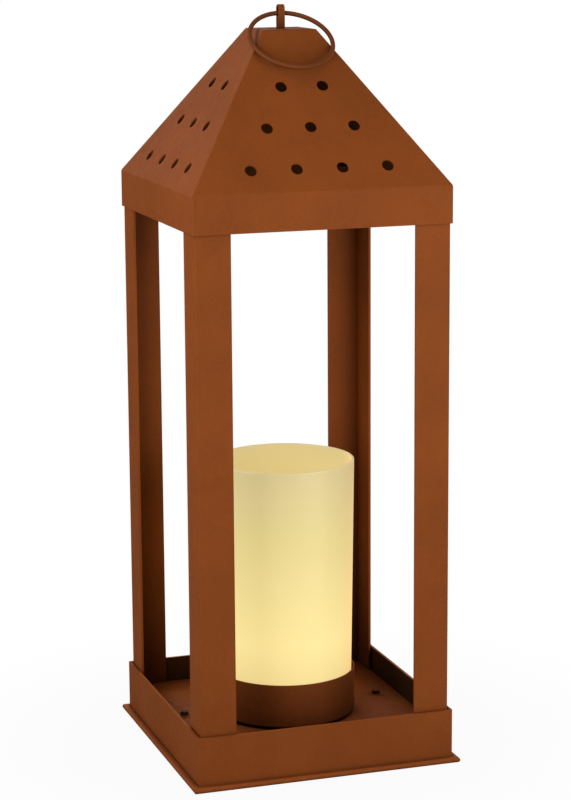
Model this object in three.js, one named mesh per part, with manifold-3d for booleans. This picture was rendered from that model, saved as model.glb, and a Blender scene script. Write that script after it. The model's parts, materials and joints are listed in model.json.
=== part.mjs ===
// A square post lantern with an electric lamp: tray base, four angle posts, vented pyramid roof,
// carrying ring, and an opal glass cylinder in a metal cup. Millimetres, +Z up, the origin in the
// middle of the base where it stands.

import * as THREE from 'three';
import { mergeVertices } from 'three/addons/utils/BufferGeometryUtils.js';
import Module from 'manifold-3d';

const wasm = await Module();
wasm.setup();

// Sides of round shapes: wide, middling, threaded, narrow and small
const wideSides = 56;
const midSides = 32;
const threadSides = 24;
const narrowSides = 16;
const holeSides = 12;

// Steps of an arc: a small bend, the nose of a hem and a large round
const bendSteps = 3;
const noseSteps = 6;
const roundSteps = 8;

// Clearances, the least radius of a bend, and how far a cutter reaches past the face it opens
const fitGap = 0.3;
const holeGap = 0.3;
const leastBend = 0.3;
const throughCut = 1;

// Tray base, folded from one sheet, with a flange hemmed back on itself
const baseWidth = 222;
const flangeLip = 5;
const traySheet = 2;
const trayBend = 1.6;
const hemSlack = 0.6;
const hemGap = 0.7;
const trayHeight = 43.4;
const trayCorner = 1.2;
const flangeCorner = 2.5;
const sheetEdgeRound = 0.6;

// Plate that closes the base from below, and its screws
const coverSheet = 2;
const coverScrewInset = 20;
const coverScrewRadius = 1.9;
const coverScrewHead = 3.5;
const coverHeadHeight = 1.6;
const coverScrewLength = 10;
const coverSlotWidth = 0.9;
const coverSlotDepth = 0.7;

// Floor plate inside the tray
const floorLevel = 23.3;
const floorSheet = 1.5;
const floorGap = 1.4;
const fixingHoleRadius = 3.25;
const fixingHoleX = 84;
const fixingHoleY = 11;
const fixingSeatRadius = 7;
const fixingSeatRise = 0.3;

// Folded channels under the floor plate
const channelLength = 140;
const channelLeg = 15;
const channelSheet = 1.5;

// Corner posts, folded to an L
const postLeg = 28.7;
const postSheet = 2;
const postBend = 1.4;
const postGap = 1.1;

// Roof
const openingHeight = 391.5;
const skirtHeight = 29.4;
const roofRise = 117;
const roofTopWidth = 44;
const roofSheet = 1.2;
const hipRadius = 1.2;
const eaveRadius = 3;
const topEdgeRadius = 2;
const ventRadius = 4.7;
const ventRows = 3;
const ventsInFirstRow = 4;
const ventFirstRow = 19.8;
const ventRowPitch = 36.1;
const ventPitch = 36.6;
const ventPitchStep = 1.5;

// Eye on the roof and the wire ring in it
const wireRadius = 1.8;
const ringRadius = 32.9;
const eyeClearance = 0.35;
const eyeWall = 1.35;
const eyeWidth = 5.2;
const eyeWireHeight = 11.9;
const eyeSlack = 3.3;
const hangerStudRadius = 2.5;
const hangerStudLength = 8;
const hangerNutFlats = 8;
const hangerNutHeight = 4;
const hangerWasherRadius = 7;
const hangerWasherSheet = 1;

// Glass, its cup and its soft seat
const glassTopRadius = 57.2;
const glassFootRadius = 54.1;
const glassWall = 2.5;
const glassHeight = 208.9;
const glassSideGap = 1.9;
const gasketHeight = 1.5;
const gasketWidth = 5;
const cupSheet = 1.2;
const cupHeight = 36.7;
const cupCorner = 2.6;
const cupWasherRadius = 18;
const cupWasherSheet = 1;

// Hollow threaded tube that clamps the cup and the lamp holder to the floor plate
const nippleRadius = 5;
const nippleWall = 1.1;
const nippleTail = 4.8;
const nippleReach = 5.7;
const nippleNutFlats = 14;
const nippleNutHeight = 3;

// Lamp holder for a 27 mm screw cap
const holderRadius = 20;
const holderHeight = 36.5;
const holderBore = 15;
const holderBoreDepth = 24;
const holderChamber = 8;
const holderFloor = 6;
const holderChamfer = 1.2;
const insertHeight = 2;
const contactHeadRadius = 3.4;
const contactHeadHeight = 1;
const contactStemRadius = 1.3;
const contactStemLength = 3.5;
const shellWall = 0.5;
const shellSideGap = 0.8;
const shellHeight = 19;

// Lamp bulb
const capRadius = 13.1;
const threadPitch = 3.629;
const threadDepth = 0.7;
const capHeight = 20;
const capWall = 0.5;
const capTipRadius = 4.6;
const capTipHeight = 1;
const capCone = 3;
const insulatorRim = 0.4;
const collarSpigot = 3;
const collarLip = 0.6;
const collarHeight = 29.7;
const collarWall = 2;
const globeRadius = 30;
const globeWall = 1.5;
const globeCentreRise = 46.4;
const boardSheet = 1.5;

// Wiring in the base
const blockWidth = 28;
const blockDepth = 18;
const blockHeight = 12.8;
const blockY = 49;
const poleSpacing = 16;
const poleHoleRadius = 1.4;
const poleRise = 5.1;
const leadRadius = 1.1;
const leadSpacing = 3;
const leadGrip = 5;
const leadStraight = 3;
const leadBend = 5;
const leadSteps = 24;
const blockScrewRadius = 1.3;
const blockScrewHead = 2.6;
const blockScrewHeadHeight = 1.8;
const cordHoleRadius = 6.3;
const grommetBore = 3.5;
const grommetFlange = 8;
const grommetFlangeSheet = 1.5;

// Widths and levels that follow from the sizes above
const flangeHalf = baseWidth / 2;
const trayHalf = flangeHalf - flangeLip;
const trayInner = trayHalf - traySheet;
const hemHeight = 2 * traySheet + hemSlack;
const cordHoleHeight = hemHeight + fitGap + grommetFlange;
const postHalf = trayInner - postGap;
const skirtHalf = postHalf + fitGap + roofSheet;
const roofTopHalf = roofTopWidth / 2;
const skirtBottom = trayHeight + openingHeight;
const eaveLevel = skirtBottom + skirtHeight;
const roofTop = eaveLevel + roofRise;
const ringPivot = roofTop + eyeWireHeight;
const eyeHoleRadius = wireRadius + eyeClearance;
const floorUnder = floorLevel - floorSheet;
const cupFoot = floorLevel + cupWasherSheet;
const cupFloor = cupFoot + cupSheet;
const cupInner = glassFootRadius + glassSideGap;
const cupRadius = cupInner + cupSheet;
const cupInnerCorner = Math.max(cupCorner - cupSheet, leastBend);
const gasketOuter = cupInner - cupInnerCorner - fitGap;
const glassFoot = cupFloor + gasketHeight;
const glassTop = glassFoot + glassHeight;
const nippleHole = nippleRadius + holeGap;
const holderTop = cupFloor + holderHeight;
const insertFoot = holderTop - holderBoreDepth;
const insertTop = insertFoot + insertHeight;
const capTip = insertTop + contactHeadHeight + fitGap;
const capFoot = capTip + capTipHeight + capCone;
const capTop = capFoot + capHeight;
const capInner = capRadius - threadDepth - capWall;
const globeCentre = capTop + globeCentreRise;
const collarFoot = capTop + fitGap;
const collarTop = collarFoot + collarHeight;
const globeOpening = Math.sqrt(globeRadius ** 2 - (globeCentre - collarTop) ** 2);
const channelOuter = trayInner - fitGap;
const coverScrewX = channelOuter - channelLeg / 2 - channelSheet / 2;
const coverScrewY = channelLength / 2 - coverScrewInset;
const blockUnder = floorUnder - blockHeight;
const poleLevel = blockUnder + poleRise;

// Finishes
function finish(color, roughness, metalness, opacity = 1) {
  return new THREE.MeshStandardMaterial({
    color,
    roughness,
    metalness,
    opacity,
    transparent: opacity < 1,
    flatShading: true,
  });
}
const rustPaint = finish(0x8a4a27, 0.8, 0.1);
const zincPlate = finish(0xb4b6b4, 0.45, 0.8);
const brass = finish(0xc0a050, 0.4, 0.9);
const opalGlass = finish(0xf2e2ac, 0.3, 0, 0.9);
const blackPlastic = finish(0x1c1c1c, 0.6, 0);
const whitePlastic = finish(0xf0eee8, 0.5, 0);
const blackRubber = finish(0x202020, 0.9, 0);
const boardFinish = finish(0xe6e6e0, 0.6, 0);
const leadBrown = finish(0x5a3418, 0.6, 0);
const leadBlue = finish(0x2c4f9a, 0.6, 0);

const lantern = new THREE.Group();

function addPiece(name, geometry, material) {
  const mesh = new THREE.Mesh(weld(geometry), material);
  mesh.name = name;
  lantern.add(mesh);
  return mesh;
}

// Joins equal corners and drops triangles that have no area
function weld(geometry) {
  const bare = geometry.clone();
  bare.deleteAttribute('normal');
  bare.deleteAttribute('uv');
  const merged = mergeVertices(bare, 1e-4);
  const old = merged.index.array;
  const kept = [];
  for (let i = 0; i < old.length; i += 3) {
    const [a, b, c] = [old[i], old[i + 1], old[i + 2]];
    if (a !== b && b !== c && c !== a) kept.push(a, b, c);
  }
  merged.setIndex(kept);
  return merged;
}

function solidOf(geometry) {
  const closed = weld(geometry);
  return new wasm.Manifold(new wasm.Mesh({
    numProp: 3,
    vertProperties: new Float32Array(closed.attributes.position.array),
    triVerts: new Uint32Array(closed.index.array),
  }));
}

function geometryOf(solid) {
  const mesh = solid.getMesh();
  const geometry = new THREE.BufferGeometry();
  geometry.setAttribute('position', new THREE.BufferAttribute(mesh.vertProperties, 3));
  geometry.setIndex(new THREE.BufferAttribute(mesh.triVerts, 1));
  return geometry;
}

function cut(body, ...tools) {
  let solid = solidOf(body);
  for (const tool of tools) solid = solid.subtract(solidOf(tool));
  return geometryOf(solid);
}

function join(body, ...others) {
  let solid = solidOf(body);
  for (const other of others) solid = solid.add(solidOf(other));
  return geometryOf(solid);
}

// Turns a profile of [radius, height] points about the Z axis
function lathe(points, segments = midSides) {
  const profile = points.map(([radius, height]) => new THREE.Vector2(radius, height));
  return new THREE.LatheGeometry(profile, segments).rotateX(Math.PI / 2);
}

// The same for a profile that goes round a ring and comes back to its first point
function latheRing(points, segments = midSides) {
  return lathe([...points, points[0]], segments);
}

// An upright cylinder between two levels
function rod(radius, bottom, top, segments = narrowSides) {
  return new THREE.CylinderGeometry(radius, radius, top - bottom, segments)
    .rotateX(Math.PI / 2)
    .translate(0, 0, (bottom + top) / 2);
}

function box(x, y, z, width, depth, height) {
  return new THREE.BoxGeometry(width, depth, height).translate(x, y, z);
}

// A hexagon nut, given across its flats
function nut(flats, boreRadius, bottom, top) {
  const hexagon = rod(flats / Math.sqrt(3), bottom, top, 6);
  return cut(hexagon, rod(boreRadius, bottom - throughCut, top + throughCut));
}

// Points on an arc, ends included
function arc(centreX, centreY, radius, from, to, steps) {
  const points = [];
  for (let i = 0; i <= steps; i++) {
    const angle = from + (to - from) * i / steps;
    points.push([centreX + radius * Math.cos(angle), centreY + radius * Math.sin(angle)]);
  }
  return points;
}

// One level of a square column: its corners are rounded, counterclockwise seen from above
function squareRing(half, corner, height, steps) {
  const points = [];
  for (let quarter = 0; quarter < 4; quarter++) {
    const start = quarter * Math.PI / 2;
    const x = (quarter === 0 || quarter === 3 ? 1 : -1) * (half - corner);
    const y = (quarter < 2 ? 1 : -1) * (half - corner);
    for (const [px, py] of arc(x, y, corner, start, start + Math.PI / 2, steps)) {
      points.push([px, py, height]);
    }
  }
  return points;
}

// Joins square levels of [half width, height, corner radius] to one skin. A closed skin returns to
// its first level, and any other is capped below and above.
function squareLoft(levels, closed = false, steps = bendSteps) {
  const rings = levels.map(([half, height, corner]) => squareRing(half, corner, height, steps));
  const count = rings[0].length;
  const index = [];
  const last = closed ? rings.length : rings.length - 1;
  for (let j = 0; j < last; j++) {
    const low = j * count;
    const high = ((j + 1) % rings.length) * count;
    for (let k = 0; k < count; k++) {
      const next = (k + 1) % count;
      index.push(low + k, low + next, high + next);
      index.push(low + k, high + next, high + k);
    }
  }
  if (!closed) {
    const top = (rings.length - 1) * count;
    for (let k = 1; k < count - 1; k++) {
      index.push(0, k + 1, k);
      index.push(top, top + k, top + k + 1);
    }
  }
  const geometry = new THREE.BufferGeometry();
  geometry.setAttribute('position', new THREE.Float32BufferAttribute(rings.flat(2), 3));
  geometry.setIndex(index);
  return geometry;
}

// Extrudes a flat shape, then turns its x, y and thickness to the axes given
function extrude(shape, thickness, axes, curveSegments = roundSteps) {
  const settings = { depth: thickness, bevelEnabled: false, curveSegments };
  const geometry = new THREE.ExtrudeGeometry(shape, settings);
  return axes ? geometry.applyMatrix4(new THREE.Matrix4().makeBasis(...axes)) : geometry;
}

function polygon(points) {
  return new THREE.Shape(points.map(([x, y]) => new THREE.Vector2(x, y)));
}

function roundHole(x, y, radius) {
  return new THREE.Path().absarc(x, y, radius, 0, Math.PI * 2, true);
}

const alongX = [new THREE.Vector3(0, 1, 0), new THREE.Vector3(0, 0, 1), new THREE.Vector3(1, 0, 0)];
const alongY = [new THREE.Vector3(1, 0, 0), new THREE.Vector3(0, 0, 1), new THREE.Vector3(0, -1, 0)];

// Tray: a wall folded out at its foot to a narrow flange, which is hemmed back over itself and
// leaves a thin gap before the wall, with the cord hole in the rear wall
function baseFrame() {
  const innerBend = arc(
    trayInner + trayBend, trayBend, trayBend, Math.PI, Math.PI * 1.5, bendSteps);
  const nose = hemHeight / 2;
  const noseBend = arc(flangeHalf - nose, nose, nose, -Math.PI / 2, Math.PI / 2, noseSteps);
  const hemEnd = trayHalf + hemGap;
  const levels = [
    ...innerBend.map(([half, height]) => [half, height, trayCorner / 2]),
    ...noseBend.map(([half, height]) => [half, height, flangeCorner]),
    [hemEnd, hemHeight, trayCorner],
    [hemEnd, traySheet, trayCorner],
    [trayHalf, traySheet, trayCorner],
    [trayHalf, trayHeight - sheetEdgeRound, trayCorner],
    [trayHalf - sheetEdgeRound, trayHeight, trayCorner - sheetEdgeRound],
    [trayInner, trayHeight, trayCorner / 2],
  ];
  const cordHole = rod(cordHoleRadius, trayInner - throughCut, trayHalf + throughCut)
    .rotateX(-Math.PI / 2)
    .translate(0, 0, cordHoleHeight);
  return cut(squareLoft(levels, true), cordHole);
}

function coverScrewPlaces() {
  const places = [];
  for (const x of [-coverScrewX, coverScrewX]) {
    for (const y of [-coverScrewY, coverScrewY]) places.push([x, y]);
  }
  return places;
}

// A countersunk screw, head down. A larger grow makes the cutter for its hole.
function countersunk(length, grow = 0) {
  return lathe([
    [0, -grow],
    [coverScrewHead + grow, -grow],
    [coverScrewHead + grow, grow],
    [coverScrewRadius + grow, coverHeadHeight + grow],
    [coverScrewRadius + grow, length + grow],
    [0, length + grow],
  ], narrowSides);
}

// Upright rods at the two places for fixing screws, as cutters or as raised seats
function fixingRods(radius, bottom, top) {
  return [-1, 1].map((side) =>
    rod(radius, bottom, top).translate(side * fixingHoleX, fixingHoleY, 0));
}

// Plate that closes the base, flush with the flange
function baseCover() {
  const half = trayInner - fitGap;
  const plate = squareLoft([[half, 0, trayCorner / 2], [half, coverSheet, trayCorner / 2]]);
  const screwHoles = coverScrewPlaces().map(([x, y]) =>
    countersunk(coverScrewLength, holeGap).translate(x, y, 0));
  const fixingHoles = fixingRods(fixingHoleRadius, -throughCut, coverSheet + throughCut);
  return cut(plate, ...screwHoles, ...fixingHoles);
}

function coverScrew(x, y) {
  const slotLength = 2 * (coverScrewHead + throughCut);
  const slot = box(0, 0, 0, slotLength, coverSlotWidth, 2 * coverSlotDepth);
  return cut(countersunk(coverScrewLength), slot).translate(x, y, 0);
}

// A C channel between the cover and the floor plate, open towards the middle of the base
function channel(side) {
  const low = coverSheet + fitGap;
  const high = floorUnder;
  const outer = channelOuter;
  const inner = outer - channelLeg;
  const outline = [
    [inner, low],
    [outer, low],
    [outer, high],
    [inner, high],
    [inner, high - channelSheet],
    [outer - channelSheet, high - channelSheet],
    [outer - channelSheet, low + channelSheet],
    [inner, low + channelSheet],
  ].map(([x, z]) => [side * x, z]);
  const bar = extrude(polygon(outline), channelLength, alongY).translate(0, channelLength / 2, 0);
  const drill = rod(coverScrewRadius + holeGap, low - throughCut, low + channelSheet + throughCut);
  const holes = coverScrewPlaces()
    .filter(([x]) => Math.sign(x) === side)
    .map(([x, y]) => drill.clone().translate(x, y, 0));
  return cut(bar, ...holes);
}

// Floor plate, stepped in at its corners to pass inside the four posts, with a low pressed seat
// for a screw's head round each fixing hole
function floorPlate() {
  const half = trayInner - floorGap;
  const step = postHalf - postLeg - fitGap;
  const inner = postHalf - postSheet - fitGap;
  const corner = [[half, step], [inner, step], [inner, inner], [step, inner], [step, half]];
  const outline = [];
  for (let quarter = 0; quarter < 4; quarter++) {
    outline.push(...corner.map(([x, y]) => turn(x, y, quarter)));
  }
  const shape = polygon(outline);
  shape.holes.push(roundHole(0, 0, nippleHole));
  shape.holes.push(roundHole(0, blockY, blockScrewRadius + holeGap));
  const plate = extrude(shape, floorSheet, null).translate(0, 0, floorUnder);
  const seatTop = floorLevel + fixingSeatRise;
  const seats = fixingRods(fixingSeatRadius, floorUnder, seatTop);
  const fixingHoles = fixingRods(fixingHoleRadius, floorUnder - throughCut, seatTop + throughCut);
  return cut(join(plate, ...seats), ...fixingHoles);
}

// Turns a point about the Z axis by quarter turns
function turn(x, y, quarters) {
  const angle = quarters * Math.PI / 2;
  const [c, s] = [Math.round(Math.cos(angle)), Math.round(Math.sin(angle))];
  return [x * c - y * s, x * s + y * c];
}

// An L-angle post for the corner at +X +Y, from the cover up into the roof's skirt
function cornerPost() {
  const [h, w, t, bend] = [postHalf, postLeg, postSheet, postBend];
  const innerBend = Math.max(bend - t, leastBend);
  const shape = new THREE.Shape();
  shape.moveTo(h, h - w);
  shape.lineTo(h, h - bend);
  shape.absarc(h - bend, h - bend, bend, 0, Math.PI / 2, false);
  shape.lineTo(h - w, h);
  shape.lineTo(h - w, h - t);
  shape.lineTo(h - t - innerBend, h - t);
  shape.absarc(h - t - innerBend, h - t - innerBend, innerBend, Math.PI / 2, 0, true);
  shape.lineTo(h - t, h - w);
  shape.closePath();
  const foot = coverSheet + fitGap;
  const head = eaveLevel - eaveRadius - roofSheet;
  return extrude(shape, head - foot, null, bendSteps).translate(0, 0, foot);
}

// Half width of the roof's outside at a height on its slope
function roofHalfAt(height) {
  return skirtHalf - (height - eaveLevel) * (skirtHalf - roofTopHalf) / roofRise;
}

const roofSlope = Math.atan2(roofRise, skirtHalf - roofTopHalf);

// Rounds the corner between two straight stretches of a profile, given their directions
function bendPoints(x, y, radius, fromAngle, toAngle, steps) {
  const setback = radius * Math.tan((toAngle - fromAngle) / 2);
  const startX = x - setback * Math.cos(fromAngle);
  const startY = y - setback * Math.sin(fromAngle);
  const centreX = startX - radius * Math.sin(fromAngle);
  const centreY = startY + radius * Math.cos(fromAngle);
  return arc(centreX, centreY, radius, fromAngle - Math.PI / 2, toAngle - Math.PI / 2, steps);
}

// Row by row the vent holes of the face that looks to -Y, as cutters square to the slope
function ventCutters() {
  const cutters = [];
  for (let row = 0; row < ventRows; row++) {
    const count = ventsInFirstRow - row;
    const along = ventFirstRow + row * ventRowPitch;
    const pitch = ventPitch - row * ventPitchStep;
    const y = -(skirtHalf - along * Math.cos(roofSlope));
    const z = eaveLevel + along * Math.sin(roofSlope);
    for (let i = 0; i < count; i++) {
      const x = (i - (count - 1) / 2) * pitch;
      cutters.push(rod(ventRadius, -roofSheet - throughCut, throughCut, holeSides)
        .rotateX(roofSlope)
        .translate(x, y, z));
    }
  }
  return cutters;
}

// Roof: skirt, four sloping faces and a flat top from one sheet, open below
function roofShell() {
  const slopeAngle = Math.PI - roofSlope;
  const round = (points) => points.map(([half, height]) => [half, height, hipRadius]);
  const outer = squareLoft([
    [skirtHalf, skirtBottom, hipRadius],
    ...round(bendPoints(skirtHalf, eaveLevel, eaveRadius, Math.PI / 2, slopeAngle, bendSteps)),
    ...round(bendPoints(roofTopHalf, roofTop, topEdgeRadius, slopeAngle, Math.PI, bendSteps)),
  ]);
  const innerCorner = Math.max(hipRadius - roofSheet, leastBend);
  const sideways = roofSheet / Math.sin(roofSlope);
  const innerHalf = skirtHalf - roofSheet;
  const innerEave = eaveLevel - (sideways - roofSheet) * Math.tan(roofSlope);
  const innerTop = roofTop - roofSheet;
  const inner = squareLoft([
    [innerHalf, skirtBottom - throughCut, innerCorner],
    [innerHalf, innerEave, innerCorner],
    [roofHalfAt(innerTop) - sideways, innerTop, innerCorner],
  ]);
  const vents = [];
  for (let face = 0; face < 4; face++) {
    vents.push(...ventCutters().map((cutter) => cutter.rotateZ(face * Math.PI / 2)));
  }
  const studHole = rod(hangerStudRadius + holeGap, innerTop - throughCut, roofTop + throughCut);
  return cut(outer, inner, ...vents, studHole);
}

// Upright eye with a round head, its hole along X, and the threaded stud under its foot
function hangerEye() {
  const half = eyeHoleRadius + eyeWall;
  const headCentre = ringPivot + eyeSlack;
  const outline = [[-half, roofTop], [half, roofTop], ...arc(0, headCentre, half, 0, Math.PI, roundSteps)];
  const shape = polygon(outline);
  const hole = [
    ...arc(0, headCentre, eyeHoleRadius, 0, Math.PI, roundSteps),
    ...arc(0, ringPivot, eyeHoleRadius, Math.PI, Math.PI * 2, roundSteps),
  ];
  shape.holes.push(new THREE.Path(hole.map(([y, z]) => new THREE.Vector2(y, z))));
  const eye = extrude(shape, eyeWidth, alongX).translate(-eyeWidth / 2, 0, 0);
  const stud = rod(hangerStudRadius, roofTop - hangerStudLength, roofTop + eyeWall);
  return join(eye, stud);
}

function hangerWasher() {
  const top = roofTop - roofSheet;
  const bottom = top - hangerWasherSheet;
  const bore = hangerStudRadius + holeGap;
  return latheRing([
    [bore, bottom],
    [hangerWasherRadius, bottom],
    [hangerWasherRadius, top],
    [bore, top],
  ]);
}

function hangerNut() {
  const top = roofTop - roofSheet - hangerWasherSheet;
  return nut(hangerNutFlats, hangerStudRadius + holeGap, top - hangerNutHeight, top);
}

// Distance of a point from the roof's slopes, rounded hips and flat top
function roofDistance(point) {
  const half = roofHalfAt(point.z) - hipRadius;
  const dx = Math.max(Math.abs(point.x) - half, 0);
  const dy = Math.max(Math.abs(point.y) - half, 0);
  const level = Math.hypot(dx, dy);
  const lean = (dx + dy) / (level || 1) * (skirtHalf - roofTopHalf) / roofRise;
  const side = (level - hipRadius) / Math.hypot(1, lean);
  return Math.max(side, point.z - roofTop);
}

// The angle from straight down at which the ring, swung forward, lies on the two front hips
function ringRestAngle() {
  const samples = 240;
  const halvings = 40;
  const leastGap = (tilt) => {
    let least = Infinity;
    for (let i = 0; i < samples; i++) {
      const angle = i * Math.PI * 2 / samples;
      const down = ringRadius * (1 - Math.cos(angle));
      const point = new THREE.Vector3(
        ringRadius * Math.sin(angle),
        -down * Math.sin(tilt),
        ringPivot - down * Math.cos(tilt),
      );
      least = Math.min(least, roofDistance(point));
    }
    return least - wireRadius - fitGap;
  };
  let [low, high] = [0, Math.PI / 2];
  for (let i = 0; i < halvings; i++) {
    const middle = (low + high) / 2;
    if (leastGap(middle) < 0) low = middle;
    else high = middle;
  }
  return high;
}

function carryRing() {
  return new THREE.TorusGeometry(ringRadius, wireRadius, holeSides, wideSides)
    .translate(0, -ringRadius, 0)
    .rotateX(Math.PI / 2 - ringRestAngle())
    .translate(0, 0, ringPivot);
}

// Cup for the glass: a drawn dish with a rounded foot
function glassCup() {
  const rim = cupFoot + cupHeight;
  return latheRing([
    [nippleHole, cupFoot],
    ...arc(cupRadius - cupCorner, cupFoot + cupCorner, cupCorner, -Math.PI / 2, 0, bendSteps),
    [cupRadius, rim],
    [cupInner, rim],
    ...arc(cupInner - cupInnerCorner, cupFloor + cupInnerCorner, cupInnerCorner, 0, -Math.PI / 2, bendSteps),
    [nippleHole, cupFloor],
  ], wideSides);
}

function cupWasher() {
  return latheRing([
    [nippleHole, floorLevel],
    [cupWasherRadius, floorLevel],
    [cupWasherRadius, cupFoot],
    [nippleHole, cupFoot],
  ]);
}

function glassGasket() {
  const inner = gasketOuter - gasketWidth;
  return latheRing([
    [inner, cupFloor],
    [gasketOuter, cupFloor],
    [gasketOuter, glassFoot],
    [inner, glassFoot],
  ], wideSides);
}

// Opal glass: a tube that widens a little upwards, its rim melted round
function glassShade() {
  const lip = glassWall / 2;
  return latheRing([
    [glassFootRadius - glassWall, glassFoot],
    [glassFootRadius, glassFoot],
    ...arc(glassTopRadius - lip, glassTop - lip, lip, 0, Math.PI, bendSteps + 1),
  ], wideSides);
}

function nipple() {
  const bottom = floorUnder - nippleTail;
  const top = cupFloor + nippleReach;
  const bore = nippleRadius - nippleWall;
  const wall = [[bore, bottom], [nippleRadius, bottom], [nippleRadius, top], [bore, top]];
  return latheRing(wall, narrowSides);
}

function nippleNut() {
  return nut(nippleNutFlats, nippleHole, floorUnder - nippleNutHeight, floorUnder);
}

// Lamp holder: a round body with a chamber for the leads and a bore for the threaded shell
function holderBody() {
  return latheRing([
    [nippleHole, cupFloor],
    [holderRadius, cupFloor],
    [holderRadius, holderTop - holderChamfer],
    [holderRadius - holderChamfer, holderTop],
    [holderBore, holderTop],
    [holderBore, insertFoot],
    [holderChamber, insertFoot],
    [holderChamber, cupFloor + holderFloor],
    [nippleHole, cupFloor + holderFloor],
  ]);
}

function holderInsert() {
  const outer = holderBore - fitGap;
  const inner = contactStemRadius + holeGap;
  return latheRing([
    [inner, insertFoot],
    [outer, insertFoot],
    [outer, insertTop],
    [inner, insertTop],
  ]);
}

function centreContact() {
  return lathe([
    [0, insertTop - contactStemLength],
    [contactStemRadius, insertTop - contactStemLength],
    [contactStemRadius, insertTop],
    [contactHeadRadius, insertTop],
    [contactHeadRadius, insertTop + contactHeadHeight],
    [0, insertTop + contactHeadHeight],
  ], narrowSides);
}

// Zigzag of a rolled thread between two levels, from root to crest to root
function threadProfile(root, crest, bottom, top) {
  const turns = Math.floor((top - bottom) / threadPitch);
  const start = (bottom + top - turns * threadPitch) / 2;
  const points = [[root, bottom]];
  for (let i = 0; i < turns; i++) {
    points.push([root, start + i * threadPitch]);
    points.push([crest, start + (i + 0.5) * threadPitch]);
  }
  points.push([root, start + turns * threadPitch], [root, top]);
  return points;
}

function holderShell() {
  const top = insertTop + shellHeight;
  const inside = capRadius + shellSideGap;
  const outer = threadProfile(inside, inside + shellWall, insertTop, top);
  const inner = threadProfile(inside - shellWall, inside, insertTop, top).reverse();
  return latheRing([...outer, ...inner], threadSides);
}

function bulbContact() {
  const top = capTip + capTipHeight;
  return lathe([[0, capTip], [capTipRadius, capTip], [capTipRadius, top], [0, top]], narrowSides);
}

function bulbInsulator() {
  const bottom = capTip + capTipHeight;
  return lathe([
    [0, bottom],
    [capTipRadius + insulatorRim, bottom],
    [capRadius - threadDepth, capFoot],
    [0, capFoot],
  ]);
}

function bulbCap() {
  const outer = threadProfile(capRadius - threadDepth, capRadius, capFoot, capTop);
  return latheRing([...outer, [capInner, capTop], [capInner, capFoot]], threadSides);
}

// Collar of the bulb: a spigot in the cap and a cup that widens to carry the board and the globe
function bulbCollar() {
  const neck = capRadius + collarLip;
  const spigotRadius = capInner - fitGap;
  const flare = [];
  for (let i = 0; i <= bendSteps; i++) {
    const share = i / bendSteps;
    const widening = (globeOpening - neck) * Math.sin(share * Math.PI / 2);
    flare.push([neck + widening, collarFoot + collarHeight * share]);
  }
  const ledge = collarTop - boardSheet - globeWall;
  const ledgeRadius = globeOpening - collarWall;
  return latheRing([
    [spigotRadius - collarWall, capTop - collarSpigot],
    [spigotRadius, capTop - collarSpigot],
    [spigotRadius, collarFoot],
    ...flare,
    [ledgeRadius, collarTop],
    [ledgeRadius, ledge],
    [ledgeRadius - collarWall, ledge],
    [spigotRadius - collarWall, collarFoot + collarWall],
  ]);
}

function ledBoard() {
  const bottom = collarTop - boardSheet - globeWall;
  return rod(globeOpening - collarWall - fitGap, bottom, bottom + boardSheet, midSides);
}

// Globe of the bulb, an open dome that stands on the collar
function bulbGlobe() {
  const inside = globeRadius - globeWall;
  const edge = Math.asin((collarTop - globeCentre) / globeRadius);
  const innerEdge = Math.asin((collarTop - globeCentre) / inside);
  return lathe([
    ...arc(0, globeCentre, inside, Math.PI / 2, innerEdge, roundSteps),
    ...arc(0, globeCentre, globeRadius, edge, Math.PI / 2, roundSteps),
  ]);
}

// Terminal block under the floor plate, with a hole for each lead and one for its screw
function terminalBlock() {
  const block = box(0, blockY, floorUnder - blockHeight / 2, blockWidth, blockDepth, blockHeight);
  const holes = [-1, 1].map((side) => rod(poleHoleRadius, -blockDepth, blockDepth)
    .rotateX(Math.PI / 2)
    .translate(side * poleSpacing / 2, blockY, poleLevel));
  const screwHole = rod(blockScrewRadius + holeGap, blockUnder - throughCut, floorUnder + throughCut)
    .translate(0, blockY, 0);
  return cut(block, ...holes, screwHole);
}

function terminalScrew() {
  return lathe([
    [0, blockUnder - blockScrewHeadHeight],
    [blockScrewHead, blockUnder - blockScrewHeadHeight],
    [blockScrewHead, blockUnder],
    [blockScrewRadius, blockUnder],
    [blockScrewRadius, floorLevel - fitGap],
    [0, floorLevel - fitGap],
  ], narrowSides).translate(0, blockY, 0);
}

// One lead, from the terminal block through the threaded tube to the lamp holder
function lead(side) {
  const near = side * leadSpacing / 2;
  const far = side * poleSpacing / 2;
  const face = blockY - blockDepth / 2;
  const out = face - leadStraight;
  const turning = leadBend * (1 - Math.SQRT1_2);
  const upright = poleLevel + leadBend;
  const end = insertTop - contactStemLength - fitGap;
  const route = new THREE.CatmullRomCurve3([
    new THREE.Vector3(far, face + leadGrip, poleLevel),
    new THREE.Vector3(far, out, poleLevel),
    new THREE.Vector3((near + far) / 2, (out + leadBend) / 2, poleLevel),
    new THREE.Vector3(near, leadBend, poleLevel),
    new THREE.Vector3(near, turning, poleLevel + turning),
    new THREE.Vector3(near, 0, upright),
    new THREE.Vector3(near, 0, (upright + end) / 2),
    new THREE.Vector3(near, 0, end),
  ]);
  const section = new THREE.Shape().absarc(0, 0, leadRadius, 0, Math.PI * 2, false);
  const settings = { steps: leadSteps, curveSegments: roundSteps / 2, extrudePath: route };
  return new THREE.ExtrudeGeometry(section, settings);
}

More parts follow.
